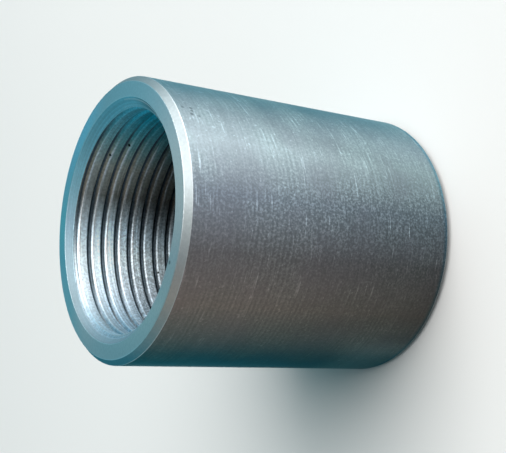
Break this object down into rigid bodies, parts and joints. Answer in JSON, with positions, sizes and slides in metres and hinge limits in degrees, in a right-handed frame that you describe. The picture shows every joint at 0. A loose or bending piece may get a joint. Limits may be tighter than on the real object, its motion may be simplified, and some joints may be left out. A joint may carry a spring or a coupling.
{
  "type": "pipe socket",
  "caption": "Short plain steel sleeve, chamfered at both ends and bored right through for a parallel pipe thread, that joins two threaded pipes end to end.",
  "frame": {"origin": "centre of the lower end face, where the standing socket meets the surface", "axes": "+Z along the bore, from the lower mouth to the upper one; the socket is round, so X and Y are any two directions square to it"},
  "size_m": [0.0324, 0.0324, 0.036],
  "materials": {
    "zinc_plated_steel": "turned steel, zinc plated, satin"
  },
  "bodies": {
    "root": {"socket_body": "zinc_plated_steel"}
  },
  "joints": []
}
